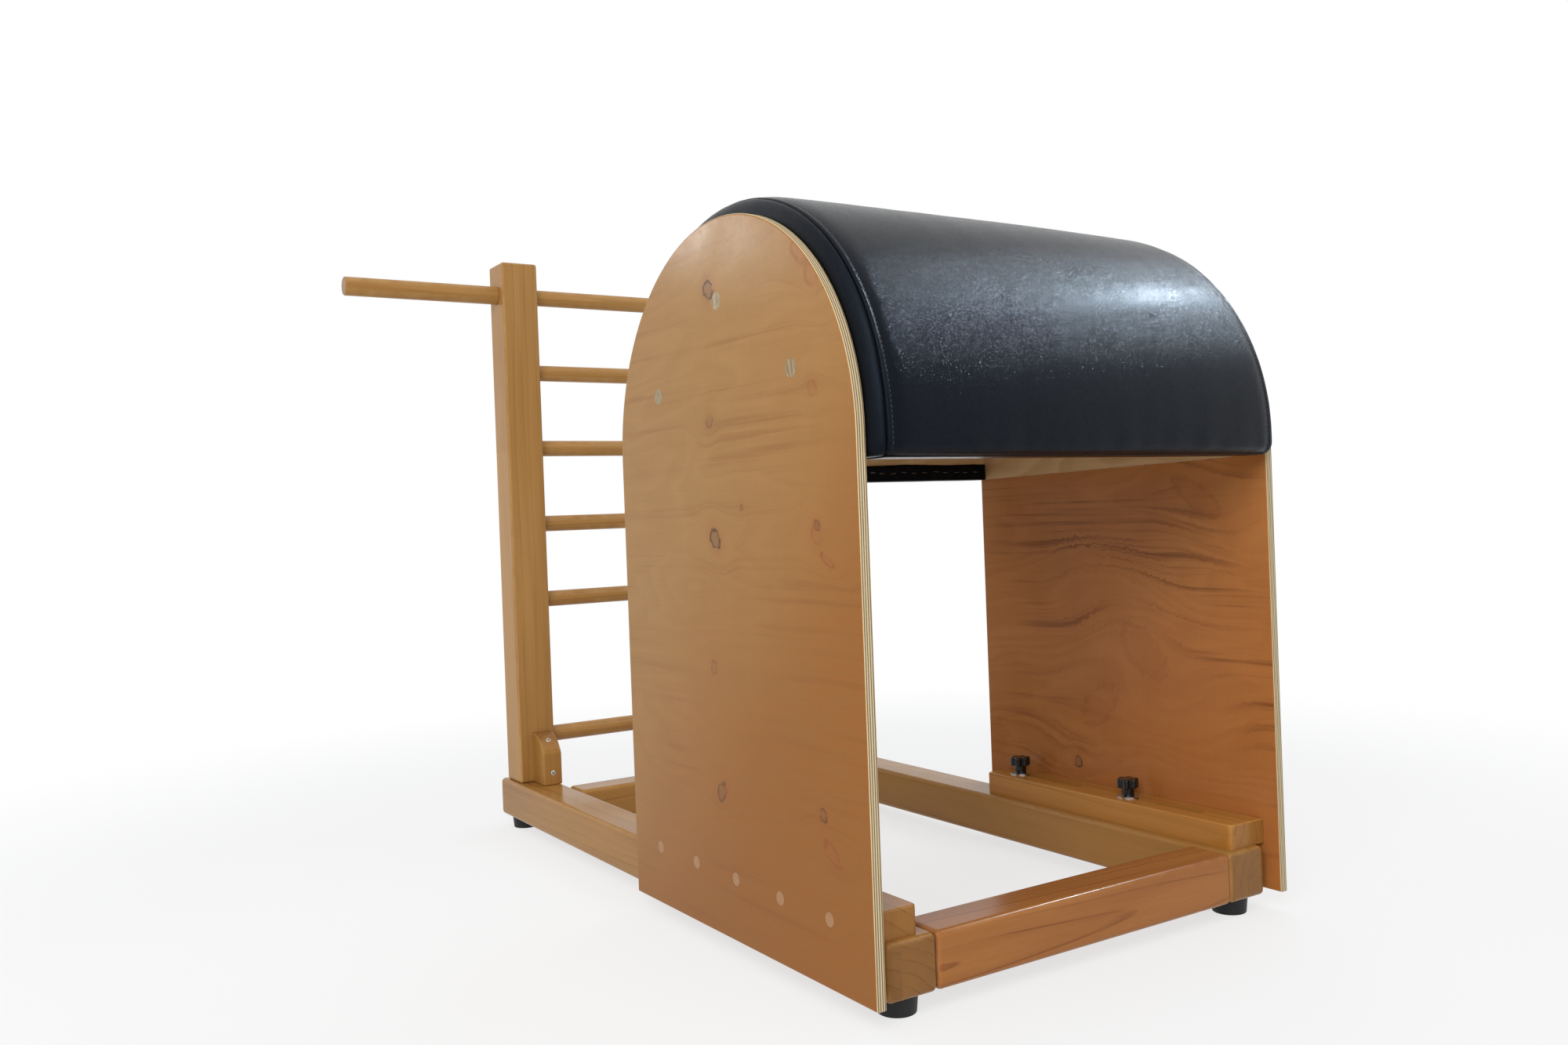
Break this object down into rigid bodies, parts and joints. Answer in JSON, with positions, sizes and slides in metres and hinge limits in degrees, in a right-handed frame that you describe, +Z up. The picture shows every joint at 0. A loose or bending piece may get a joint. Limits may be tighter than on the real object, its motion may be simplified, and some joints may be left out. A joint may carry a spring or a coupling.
{
  "type": "pilates ladder barrel",
  "caption": "Padded half-round barrel on a timber floor frame, sliding on slotted battens clamped by star knobs, facing an upright ladder with side handles.",
  "frame": {"origin": "on the floor, at the bottom centre of the overall box", "axes": "+X from the ladder to the barrel, along the side rails; +Y from the near side to the far side; +Z up"},
  "size_m": [1.355, 1.282, 1.142],
  "materials": {
    "oiled_beech": "satin varnish",
    "varnished_beech": "gloss varnish",
    "varnished_ply": "gloss varnish",
    "raw_ply": "sanded, unfinished",
    "black_vinyl": "fine leather grain",
    "wood_plug": "satin varnish",
    "pale_plug": "satin",
    "black_plastic": "moulded gloss",
    "foot_rubber": "matt",
    "zinc_steel": "bright zinc plate",
    "insert_brass": "turned"
  },
  "bodies": {
    "base": {"side_rail_near": "varnished_beech", "side_rail_far": "varnished_beech", "front_cross_rail": "varnished_beech", "rear_cross_rail": "varnished_beech", "foot_front_near": "foot_rubber", "foot_front_far": "foot_rubber", "foot_rear_near": "foot_rubber", "foot_rear_far": "foot_rubber", "foot_screws": "zinc_steel", "foot_washers": "zinc_steel", "ladder_post_near": "oiled_beech", "ladder_post_far": "oiled_beech", "rung_1": "oiled_beech", "rung_2": "oiled_beech", "rung_3": "oiled_beech", "rung_4": "oiled_beech", "rung_5": "oiled_beech", "rung_6": "oiled_beech", "handle_near": "oiled_beech", "handle_far": "oiled_beech", "post_block_near": "oiled_beech", "post_block_far": "oiled_beech", "block_screws": "zinc_steel", "threaded_inserts": "insert_brass"},
    "barrel": {"side_panel_near": "varnished_ply", "side_panel_far": "varnished_ply", "slide_batten_near": "varnished_beech", "slide_batten_far": "varnished_beech", "batten_screws": "zinc_steel", "lower_plugs": "wood_plug", "upper_plugs": "pale_plug", "cross_bar_front": "raw_ply", "cross_bar_top": "raw_ply", "cross_bar_rear": "raw_ply", "bar_bolts": "zinc_steel", "barrel_nuts": "zinc_steel", "cheek_near": "raw_ply", "cheek_far": "raw_ply", "barrel_shell": "raw_ply", "shell_screws": "zinc_steel", "barrel_pad": "black_vinyl", "cover_edge_front": "black_vinyl", "cover_edge_rear": "black_vinyl"},
    "clamp_washer_front_near": {"washer_front_near": "zinc_steel"},
    "clamp_knob_front_near": {"knob_front_near": "black_plastic", "stud_front_near": "zinc_steel"},
    "clamp_washer_front_far": {"washer_front_far": "zinc_steel"},
    "clamp_knob_front_far": {"knob_front_far": "black_plastic", "stud_front_far": "zinc_steel"},
    "clamp_washer_rear_near": {"washer_rear_near": "zinc_steel"},
    "clamp_knob_rear_near": {"knob_rear_near": "black_plastic", "stud_rear_near": "zinc_steel"},
    "clamp_washer_rear_far": {"washer_rear_far": "zinc_steel"},
    "clamp_knob_rear_far": {"knob_rear_far": "black_plastic", "stud_rear_far": "zinc_steel"}
  },
  "joints": [
    {"name": "barrel_slide", "type": "slide", "parent": "base", "child": "barrel", "axis": [1, 0, 0], "range_m": [-0.145, 0]},
    {"name": "knob_lift_front_near", "type": "slide", "parent": "base", "child": "clamp_washer_front_near", "axis": [0, 0, 1], "range_m": [0, 0.0025]},
    {"name": "knob_turn_front_near", "type": "hinge", "parent": "clamp_washer_front_near", "child": "clamp_knob_front_near", "pos_m": [0.3905, -0.329, 0.134], "axis": [0, 0, 1], "range_deg": [0, 720]},
    {"name": "knob_lift_front_far", "type": "slide", "parent": "base", "child": "clamp_washer_front_far", "axis": [0, 0, 1], "range_m": [0, 0.0025]},
    {"name": "knob_turn_front_far", "type": "hinge", "parent": "clamp_washer_front_far", "child": "clamp_knob_front_far", "pos_m": [0.3905, 0.329, 0.134], "axis": [0, 0, 1], "range_deg": [0, 720]},
    {"name": "knob_lift_rear_near", "type": "slide", "parent": "base", "child": "clamp_washer_rear_near", "axis": [0, 0, 1], "range_m": [0, 0.0025]},
    {"name": "knob_turn_rear_near", "type": "hinge", "parent": "clamp_washer_rear_near", "child": "clamp_knob_rear_near", "pos_m": [0.1375, -0.329, 0.134], "axis": [0, 0, 1], "range_deg": [0, 720]},
    {"name": "knob_lift_rear_far", "type": "slide", "parent": "base", "child": "clamp_washer_rear_far", "axis": [0, 0, 1], "range_m": [0, 0.0025]},
    {"name": "knob_turn_rear_far", "type": "hinge", "parent": "clamp_washer_rear_far", "child": "clamp_knob_rear_far", "pos_m": [0.1375, 0.329, 0.134], "axis": [0, 0, 1], "range_deg": [0, 720]}
  ],
  "couplings": [
    {"joint": "knob_turn_front_near", "follows": "knob_lift_front_near", "rad_per_m": 5026.5},
    {"joint": "knob_turn_front_far", "follows": "knob_lift_front_far", "rad_per_m": 5026.5},
    {"joint": "knob_turn_rear_near", "follows": "knob_lift_rear_near", "rad_per_m": 5026.5},
    {"joint": "knob_turn_rear_far", "follows": "knob_lift_rear_far", "rad_per_m": 5026.5}
  ]
}
